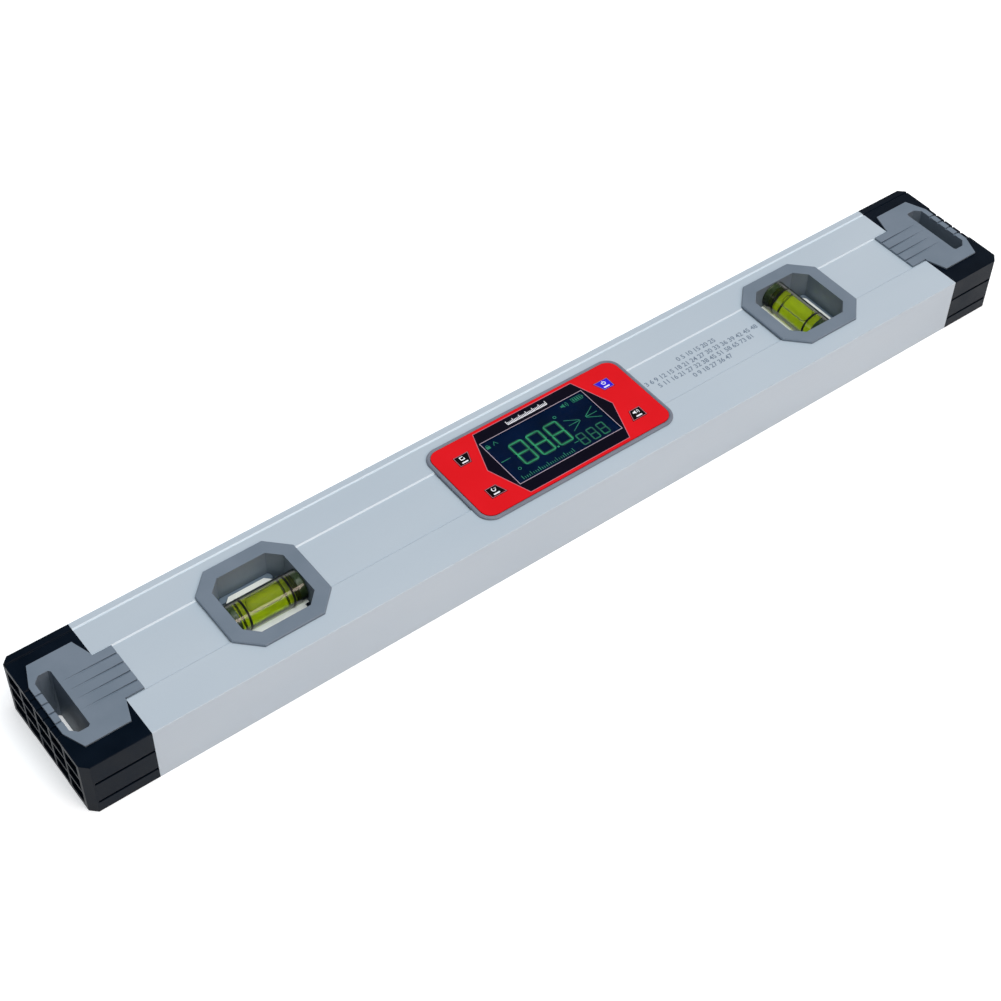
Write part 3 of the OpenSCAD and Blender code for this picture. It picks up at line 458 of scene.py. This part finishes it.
def add_line(mesh, points, width, low, high):
    """A line of that width through the points, with square ends."""
    normals = [outward(a, b) for a, b in zip(points, points[1:])]
    right, left = [], []
    for index, point in enumerate(points):
        first, second = normals[max(index - 1, 0)], normals[min(index, len(normals) - 1)]
        right.append(shifted(point, first, second, width / 2))
        left.append(shifted(point, first, second, -width / 2))
    add_plate(mesh, right + left[::-1], low, high)


def new_piece(name, body, finish, build):
    """A piece made by build, which adds to a mesh. It rides on a CAD body."""
    mesh = bmesh.new()
    build(mesh)
    bmesh.ops.recalc_face_normals(mesh, faces=mesh.faces)
    data = bpy.data.meshes.new(name)
    mesh.to_mesh(data)
    mesh.free()
    data.materials.append(finish)
    made = bpy.data.objects.new(name, data)
    bpy.context.scene.collection.objects.link(made)
    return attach(made, body)


def top_outline(node):
    """The convex outline of a CAD node's top face, anticlockwise."""
    places = [vertex.co for vertex in frame["nodes"][node].data.vertices]
    top = max(place.z for place in places)
    corners = sorted({(round(p.x, 6), round(p.y, 6)) for p in places if p.z > top - 0.01 * MM})
    outline = [Vector(corners[i]) for i in convex_hull_2d([Vector(c) for c in corners])]
    turn = sum(a.x * b.y - b.x * a.y for a, b in zip(outline, outline[1:] + outline[:1]))
    return outline if turn > 0 else outline[::-1]


# The screen: segments behind the pane

SCREEN_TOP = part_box("lcd_glass")[1].z
GLOW_LAYER = (SCREEN_TOP + 0.004 * MM, SCREEN_TOP + 0.012 * MM)
SEGMENT_LAYER = (SCREEN_TOP + 0.016 * MM, SCREEN_TOP + 0.04 * MM)
BIG_DIGIT = {"width": 5.3 * MM, "height": 10.6 * MM, "line": 0.56 * MM}
SMALL_DIGIT = {"width": 2.7 * MM, "height": 5.4 * MM, "line": 0.3 * MM}
BIG_PLACES = [(x * MM, 0.1 * MM) for x in (-12.1, -4.55, 3.2)]
SMALL_PLACES = [(x * MM, -7.2 * MM) for x in (8.6, 13.2, 17.6)]
SEGMENT_GAP = 0.35
POINT_PLACE = (-0.75 * MM, -5.1 * MM)
POINT_SIZE = 0.7 * MM
BIG_GLOW = 1.0 * MM
SMALL_GLOW = 0.5 * MM


def digit_lines(centre, width, height, line):
    """The seven lines of a digit, each shortened to leave a gap at the corners."""
    x, y = centre
    w, h, gap = width / 2, height / 2, SEGMENT_GAP * line
    lines = [[(x - w + gap, y + level * h), (x + w - gap, y + level * h)] for level in (-1, 0, 1)]
    for side in (-1, 1):
        for low in (-1, 0):
            lines.append([(x + side * w, y + low * h + gap), (x + side * w, y + (low + 1) * h - gap)])
    return [[Vector(a), Vector(b)] for a, b in lines]


def add_segment(mesh, start, end, line, layer):
    """A segment with pointed ends."""
    along = (end - start).normalized()
    side = outward(start, end)
    reach, half = line / 2 * along, line / 2 * side
    add_plate(mesh, [
        start, start + reach + half, end - reach + half,
        end, end - reach - half, start + reach - half,
    ], *layer)


def add_digits(mesh, places, size, swell, layer):
    """Digits with all their segments, drawn wider by swell."""
    for place in places:
        for start, end in digit_lines(place, size["width"], size["height"], size["line"]):
            along = (end - start).normalized() * size["line"] / 2
            add_segment(mesh, start - along, end + along, size["line"] + swell, layer)


def big_digits(mesh):
    """Three digits and the point between the second and the third."""
    add_digits(mesh, BIG_PLACES, BIG_DIGIT, 0, SEGMENT_LAYER)
    add_plate(mesh, rectangle(POINT_PLACE, POINT_SIZE, POINT_SIZE), *SEGMENT_LAYER)


def small_digits(mesh):
    """Three small digits."""
    add_digits(mesh, SMALL_PLACES, SMALL_DIGIT, 0, SEGMENT_LAYER)


def glow(mesh):
    """The light that spreads round the digits in the glass."""
    add_digits(mesh, BIG_PLACES, BIG_DIGIT, BIG_GLOW, GLOW_LAYER)
    add_digits(mesh, SMALL_PLACES, SMALL_DIGIT, SMALL_GLOW, GLOW_LAYER)


ARROW_LEVEL = 0.6 * MM
ARROW_TIPS = (13.4 * MM, 16.1 * MM)
ARROW_LENGTH = 5.0 * MM
ARROW_SPREAD = 3.1 * MM
ARROW_TIP_SPREAD = 0.25 * MM
SCREEN_LINE = 0.3 * MM


def arrows(mesh):
    """Two fans of three lines that point at each other."""
    for tip_x, side in zip(ARROW_TIPS, (-1, 1)):
        for spread in (-1, 0, 1):
            tip = Vector((tip_x, ARROW_LEVEL + spread * ARROW_TIP_SPREAD))
            tail = Vector((tip_x + side * ARROW_LENGTH, ARROW_LEVEL + spread * ARROW_SPREAD))
            add_line(mesh, [tip, tail], SCREEN_LINE, *SEGMENT_LAYER)


BATTERY_PLACE = Vector((19.2 * MM, 9.7 * MM))
BATTERY_WIDTH = 4.4 * MM
BATTERY_HEIGHT = 2.0 * MM
BATTERY_LINE = 0.2 * MM
NUB_REACH = 2.5 * MM
NUB_SIZE = (0.4 * MM, 0.9 * MM)
BAR_PITCH = 0.95 * MM
BAR_SIZE = (0.6 * MM, 1.4 * MM)


def battery_sign(mesh):
    """The battery: an outline with a nub and four bars."""
    shell = rectangle(BATTERY_PLACE, BATTERY_WIDTH, BATTERY_HEIGHT)
    add_loop(mesh, shell, BATTERY_LINE, *SEGMENT_LAYER)
    add_plate(mesh, rectangle(BATTERY_PLACE + Vector((NUB_REACH, 0)), *NUB_SIZE), *SEGMENT_LAYER)
    for step in (-1.5, -0.5, 0.5, 1.5):
        bar = BATTERY_PLACE + Vector((step * BAR_PITCH, 0))
        add_plate(mesh, rectangle(bar, *BAR_SIZE), *SEGMENT_LAYER)


def add_speaker(mesh, centre, size, layer):
    """A loudspeaker with two arcs of sound. Size is its height."""
    x, y = centre
    back, waist, mouth, half = x - 0.75 * size, x - 0.4 * size, x, size / 2
    cone = [
        (back, y - 0.4 * half), (waist, y - 0.4 * half), (mouth, y - half),
        (mouth, y + half), (waist, y + 0.4 * half), (back, y + 0.4 * half),
    ]
    add_plate(mesh, [Vector(point) for point in cone], *layer)
    for radius in (0.4 * size, 0.75 * size):
        arc = circle((x, y), radius, turns=0.25, start=-0.125, points=10)
        add_line(mesh, arc, 0.13 * size, *layer)


def add_padlock(mesh, centre, size, layer):
    """A padlock: a body and its bow."""
    x, y = centre
    add_plate(mesh, rectangle((x, y - 0.2 * size), 0.8 * size, 0.6 * size), *layer)
    bow = circle((x, y + 0.15 * size), 0.25 * size, turns=0.5, points=12)
    add_line(mesh, bow, 0.12 * size, *layer)


SIGN_SIZE = 2.0 * MM
SPEAKER_PLACE = (13.4 * MM, 9.6 * MM)
PADLOCK_PLACE = (-20.9 * MM, 9.2 * MM)
ROOF = [Vector((x * MM, y * MM)) for x, y in ((-18.6, 8.5), (-17.7, 10.1), (-16.8, 8.5))]
ROOF_LINE = 0.25 * MM
RING_RADIUS = 0.55 * MM
DEGREE_RING = ((6.9 * MM, 6.9 * MM), 0.25 * MM)
LOW_RING = ((-18.0 * MM, -5.4 * MM), 0.2 * MM)
MINUS_SIGNS = [(-21.5 * MM, -17.5 * MM, 0.5 * MM), (4.8 * MM, 6.7 * MM, -7.1 * MM)]


def signs(mesh):
    """The small signs round the digits."""
    add_speaker(mesh, SPEAKER_PLACE, SIGN_SIZE, SEGMENT_LAYER)
    battery_sign(mesh)
    add_padlock(mesh, PADLOCK_PLACE, SIGN_SIZE, SEGMENT_LAYER)
    add_line(mesh, ROOF, ROOF_LINE, *SEGMENT_LAYER)
    for place, width in (DEGREE_RING, LOW_RING):
        add_loop(mesh, circle(place, RING_RADIUS, points=20), width, *SEGMENT_LAYER)
    for start, end, y in MINUS_SIGNS:
        add_line(mesh, [Vector((start, y)), Vector((end, y))], SCREEN_LINE, *SEGMENT_LAYER)


TICK_WIDTH = 0.28 * MM


def add_ticks(mesh, count, reach, base, heights, every, layer):
    """A row of ticks from reach[0] to reach[1] that stand on base. The first of each group is tall."""
    first, last = reach
    short, tall = heights
    for i in range(count):
        x = first + (last - first) * i / (count - 1)
        height = tall if i % every == 0 else short
        add_plate(mesh, rectangle((x, base + height / 2), TICK_WIDTH, height), *layer)


def tick_row(mesh):
    """A row of ticks along the bottom of the screen, with every fourth one tall."""
    reach = (-19.8 * MM, 2.4 * MM)
    add_ticks(mesh, 25, reach, -10.4 * MM, (1.1 * MM, 1.9 * MM), 4, SEGMENT_LAYER)


def build_screen():
    """Everything that the screen shows."""
    new_piece("screen_glow", "level", SEGMENT_GLOW, glow)
    new_piece("screen_digits", "level", SEGMENT_LIT, big_digits)
    new_piece("screen_small_digits", "level", SEGMENT_FAINT, small_digits)
    new_piece("screen_arrows", "level", SEGMENT_FAINT, arrows)
    new_piece("screen_signs", "level", SEGMENT_FAINT, signs)
    new_piece("screen_ticks", "level", SEGMENT_FAINT, tick_row)


# Vials: solid clear bars and a solid filling, so that light passes as it does through a full vial

BAR_END = [(0, 0.15 * MM), (0.15 * MM, 0), (0.45 * MM, 0)]
TUBE_TRIM = 0.03 * MM


def add_bar(mesh, centre, along, radius, length, points=64):
    """A round bar with chamfered ends whose axis passes through centre."""
    side, up = Vector((-along.y, along.x, 0)), Vector((0, 0, 1))
    last = [(length / 2 - inset, radius - cut) for inset, cut in BAR_END[::-1]]
    first = [(-reach, size) for reach, size in last[::-1]]
    rims = []
    for reach, size in first + last:
        spokes = [size * (x * side + y * up) for x, y in circle((0, 0), 1, points=points)]
        rims.append([mesh.verts.new(centre + reach * along + spoke) for spoke in spokes])
    mesh.faces.new(rims[0][::-1])
    mesh.faces.new(rims[-1])
    for low, high in zip(rims, rims[1:]):
        for i in range(points):
            mesh.faces.new((low[i - 1], low[i], high[i], high[i - 1]))


def build_bar(node, name, finish, trim=0.0):
    """A bar with the outer size of a round CAD node, less trim. It stands for that node."""
    low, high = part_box(node)
    size = high - low
    along = Vector((1, 0, 0)) if size.x > size.y else Vector((0, 1, 0))

    def bar(mesh):
        add_bar(mesh, (low + high) / 2, along, size.z / 2 - trim, max(size.x, size.y))

    made = new_piece(name, "level", FINISHES[finish], bar)
    for face in made.data.polygons:
        face.use_smooth = len(face.vertices) == 4
    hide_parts(node)


def build_vials():
    """The tubes and their liquid. A tube is trimmed so that its ring lines stand out. The plumb vial, which
    gets less light, has its liquid painted lighter: painted light that makes up for the light it lacks."""
    for vial, liquid in (("level", "vial_liquid"), ("plumb", "painted_light_liquid")):
        clear_bar = f"{vial}_vial_clear_bar"
        build_bar(f"{vial}_vial_tube", clear_bar, "vial_clear", trim=TUBE_TRIM)
        build_bar(f"{vial}_vial_liquid", f"{vial}_vial_filling", liquid)


# Print on the panel and the buttons

PRINT_THICKNESS = 0.02 * MM
LINE_WIDTH = 0.24 * MM
WINDOW_LINE_OFFSET = 0.05 * MM


def print_layer(node):
    """The heights between which print lies on a CAD node's top."""
    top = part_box(node)[1].z
    return (top, top + PRINT_THICKNESS)


def frame_line(mesh):
    """The line round the screen."""
    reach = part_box("window_pane")[1]
    add_loop(mesh, rectangle((0, 0), 2 * reach.x, 2 * reach.y), LINE_WIDTH, *print_layer("window_mask"))


def window_line(mesh):
    """The line round the six-sided window."""
    outline = grow(top_outline("window_mask"), WINDOW_LINE_OFFSET)
    add_loop(mesh, outline, LINE_WIDTH, *print_layer("window_mask"))


def title_scale(mesh):
    """A white scale above the screen: a base line with ticks, every fifth one tall."""
    layer = print_layer("window_mask")
    base, reach = 13.35 * MM, (-8.8 * MM, 8.6 * MM)
    add_line(mesh, [Vector((x, base)) for x in reach], 0.3 * MM, *layer)
    add_ticks(mesh, 31, reach, base + 0.1 * MM, (1.0 * MM, 1.7 * MM), 5, layer)


BUTTONS = ["top_left_button", "bottom_left_button", "top_right_button", "bottom_right_button"]
ICON_SIZE = 1.7 * MM
ICON_LINE = 0.2 * ICON_SIZE
ICON_RADIUS = 0.42 * ICON_SIZE
ICON_RISE = 0.75 * MM
BUTTON_BAR_DROP = 1.25 * MM
BUTTON_BAR_SIZE = (2.5 * MM, 0.6 * MM)
BORDER_INSET = 0.1 * MM
BORDER_WIDTH = 0.2 * MM


def button_centre(node):
    """The middle of a button's top."""
    outline = top_outline(node)
    return sum(outline, Vector((0, 0))) / len(outline)


def hold_icon(mesh, centre, layer):
    """A square with an open corner."""
    x, y = centre
    half = 0.4 * ICON_SIZE
    corners = [(half, half), (-half, half), (-half, -half), (half, -half), (half, 0)]
    add_line(mesh, [Vector((x + a, y + b)) for a, b in corners], ICON_LINE, *layer)


def turn_icon(mesh, centre, layer):
    """A circular arrow."""
    arc = circle(centre, ICON_RADIUS, turns=0.8, start=0.3, points=24)
    add_line(mesh, arc, ICON_LINE, *layer)
    tip = centre + Vector((ICON_RADIUS, 0))
    corners = [(-0.3, 0.3), (0, -0.02), (0.3, 0.3)]
    add_plate(mesh, [tip + ICON_SIZE * Vector(corner) for corner in corners], *layer)


def power_icon(mesh, centre, layer):
    """A ring open at the top, with a bar through the opening."""
    arc = circle(centre, ICON_RADIUS, turns=0.78, start=0.36, points=24)
    add_line(mesh, arc, ICON_LINE, *layer)
    stroke = centre + Vector((0, 0.35 * ICON_SIZE))
    add_plate(mesh, rectangle(stroke, ICON_LINE, 0.5 * ICON_SIZE), *layer)


def speaker_icon(mesh, centre, layer):
    """A loudspeaker."""
    add_speaker(mesh, centre, ICON_SIZE, layer)


ICONS = dict(zip(BUTTONS, [hold_icon, turn_icon, power_icon, speaker_icon]))


def build_button_print(node):
    """The outline, the sign and the bar printed on a button."""
    layer = print_layer(node)
    centre = button_centre(node)
    sign = centre + Vector((0, ICON_RISE))
    bar = centre - Vector((0, BUTTON_BAR_DROP))

    def border(mesh):
        add_loop(mesh, grow(top_outline(node), -BORDER_INSET), BORDER_WIDTH, *layer)

    def marks(mesh):
        ICONS[node](mesh, sign, layer)
        add_plate(mesh, rectangle(bar, *BUTTON_BAR_SIZE), *layer)

    new_piece(f"{node}_border", node, FINISHES["print_rose"], border)
    new_piece(f"{node}_sign", node, FINISHES["print_white"], marks)


def build_panel_print():
    """The print on the panel."""
    new_piece("screen_frame_line", "level", FINISHES["print_pink"], frame_line)
    new_piece("window_line", "level", FINISHES["print_rose"], window_line)
    new_piece("title_scale", "level", FINISHES["print_white"], title_scale)
    for node in BUTTONS:
        build_button_print(node)


# Number table on the face: degrees over the slope in percent

TABLE_ROWS = {
    "table_low_angles": (71.2 * MM, 4.3 * MM),
    "table_angles": (71.1 * MM, 0.8 * MM),
    "table_slopes": (70.7 * MM, -2.35 * MM),
    "table_low_slopes": (70.8 * MM, -5.6 * MM),
}
TABLE_TEXT_SIZE = 2.9 * MM
TABLE_STROKE = 0.06 * MM
TABLE_GAP = " "
CHANNEL_DEPTH = 0.45 * MM


def slope(degrees):
    """The slope in percent at an angle, as a whole number."""
    return f"{100 * math.tan(math.radians(degrees)):.0f}"


def number_row(name, numbers):
    """A centred row of printed numbers on the floor of the channel."""
    text = bpy.data.curves.new(name, "FONT")
    text.body = TABLE_GAP.join(numbers)
    text.size = TABLE_TEXT_SIZE
    text.offset = TABLE_STROKE
    text.align_x = "CENTER"
    text.align_y = "CENTER"
    text.extrude = PRINT_THICKNESS / 2
    holder = bpy.data.objects.new(name + "_text", text)
    bpy.context.scene.collection.objects.link(holder)
    bpy.context.view_layer.update()
    data = bpy.data.meshes.new_from_object(holder)
    bpy.data.objects.remove(holder)
    data.materials.clear()
    data.materials.append(FINISHES["print_grey"])
    made = bpy.data.objects.new(name, data)
    bpy.context.scene.collection.objects.link(made)
    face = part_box("body_profile")[1].z - CHANNEL_DEPTH
    made.location = (*TABLE_ROWS[name], face + PRINT_THICKNESS / 2)
    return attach(made, "level")


def build_number_table():
    """Two pairs of rows: angles, and the slopes that belong to them."""
    low, high = range(0, 26, 5), range(3, 49, 3)
    number_row("table_low_angles", [str(a) for a in low])
    number_row("table_angles", [str(a) for a in high])
    number_row("table_slopes", [slope(a) for a in high[:-3]])
    number_row("table_low_slopes", [slope(a) for a in low])


# Floor, light and camera

FLOOR_HALF = 3.0
FLOOR_WHITE = srgb(236, 236, 236)
FLOOR_DARKEST = srgb(235, 235, 235)
FLOOR_LIGHTEST = srgb(237, 237, 237)
FLOOR_GRAIN = 400 * MM
FLOOR_BOOST = 0.4


def build_floor():
    """A pale floor that shows white to the camera and keeps the object's shadow."""
    finish = new_finish("floor_white", FLOOR_WHITE, 0.9, {"Specular IOR Level": 0.0})
    mottle(finish, grains(finish, FLOOR_GRAIN, detail=1), FLOOR_DARKEST, FLOOR_LIGHTEST)
    path = add_node(finish, "ShaderNodeLightPath").outputs
    tree = finish.node_tree
    seen = combine(tree, "MAXIMUM", path["Is Camera Ray"], path["Is Glossy Ray"])
    tree.nodes["Principled BSDF"].inputs["Emission Color"].default_value = (1, 1, 1, 1)
    feed(finish, "Emission Strength", combine(tree, "MULTIPLY", seen, FLOOR_BOOST))
    low = cad_box[0].z
    corners = [(x, y, low) for x, y in rectangle((0, 0), 2 * FLOOR_HALF, 2 * FLOOR_HALF)]
    data = bpy.data.meshes.new("floor")
    data.from_pydata(corners, [], [(0, 1, 2, 3)])
    data.materials.append(finish)
    floor = bpy.data.objects.new("floor", data)
    bpy.context.scene.collection.objects.link(floor)


WORLD_LIGHT = 0.7
LOW_TINT = (0.72, 0.32, 0.16)
HIGH_TINT = (0.97, 1.02, 1.1)
LEFT_LIGHT = (0.14, 0.15, 0.17, 1)
OVERHEAD_IN_MIRRORS = (0.045, 0.06, 0.08, 1)
CEILING_REACH = (0.35, 0.6)
LEFT_REACH = (-0.6, 0.1)


def rise(tree, output, reach):
    """A value that goes from 0 to 1 while an output crosses the reach."""
    node = tree.nodes.new("ShaderNodeMapRange")
    tree.links.new(output, node.inputs["Value"])
    node.inputs["From Min"].default_value, node.inputs["From Max"].default_value = reach
    return node.outputs["Result"]


def build_world():
    """A white room with a dark ceiling in reflections. Its soft light comes less from the left."""
    world = bpy.data.worlds.new("studio")
    world.use_nodes = True
    bpy.context.scene.world = world
    tree = world.node_tree
    path = tree.nodes.new("ShaderNodeLightPath").outputs
    place = tree.nodes.new("ShaderNodeTexCoord").outputs["Generated"]
    split = tree.nodes.new("ShaderNodeSeparateXYZ")
    tree.links.new(place, split.inputs[0])
    height = rise(tree, split.outputs["Z"], CEILING_REACH)
    side = rise(tree, split.outputs["X"], LEFT_REACH)
    low, high = [(*(WORLD_LIGHT * share for share in tint), 1) for tint in (LOW_TINT, HIGH_TINT)]
    light = mix_colours(tree, side, LEFT_LIGHT, mix_colours(tree, height, low, high))
    mirrored = mix_colours(tree, height, (1, 1, 1, 1), OVERHEAD_IN_MIRRORS)
    seen = combine(tree, "MAXIMUM", path["Is Camera Ray"], path["Is Glossy Ray"])
    clear = combine(tree, "MAXIMUM", seen, path["Is Transmission Ray"])
    colour = mix_colours(tree, clear, light, mirrored)
    tree.links.new(colour, tree.nodes["Background"].inputs["Color"])


LAMP_TARGET = Vector((0, 0, 0.01))


def add_lamp(name, place, size, watts, colour, mirrored=True):
    """A large soft square lamp that shines at the level, seen in reflections or not."""
    light = bpy.data.lights.new(name, "AREA")
    light.shape = "SQUARE"
    light.size = size
    light.energy = watts
    light.color = colour
    lamp = bpy.data.objects.new(name, light)
    bpy.context.scene.collection.objects.link(lamp)
    lamp.location = place
    lamp.rotation_mode = "QUATERNION"
    lamp.rotation_quaternion = (LAMP_TARGET - Vector(place)).to_track_quat("-Z", "Y")
    lamp.visible_glossy = mirrored


def build_lamps():
    """Soft light from above and from the front."""
    add_lamp("key_lamp", (0.02, -0.3, 1.5), 1.0, 15.4, (0.9, 0.98, 1.0), mirrored=False)
    add_lamp("front_lamp", (0.2, -1.25, 0.9), 0.55, 4.8, (1.0, 0.8, 0.68))


CAMERA_PLACE = (-0.30434, -0.35537, 0.50506)
CAMERA_TURN = (42.2297, -1.1001, -37.2706)
CAMERA_LENS = 68.85
SENSOR_WIDTH = 36


def build_camera():
    """The photograph's viewpoint: turns are in degrees about X, Y and Z."""
    data = bpy.data.cameras.new("camera")
    data.lens = CAMERA_LENS
    data.sensor_width = SENSOR_WIDTH
    camera = bpy.data.objects.new("camera", data)
    bpy.context.scene.collection.objects.link(camera)
    camera.location = CAMERA_PLACE
    camera.rotation_euler = [math.radians(turn) for turn in CAMERA_TURN]
    bpy.context.scene.camera = camera


paint_nodes()
build_screen()
build_vials()
build_panel_print()
build_number_table()
build_floor()
build_world()
build_lamps()
build_camera()
bpy.context.scene.view_settings.view_transform = "Standard"
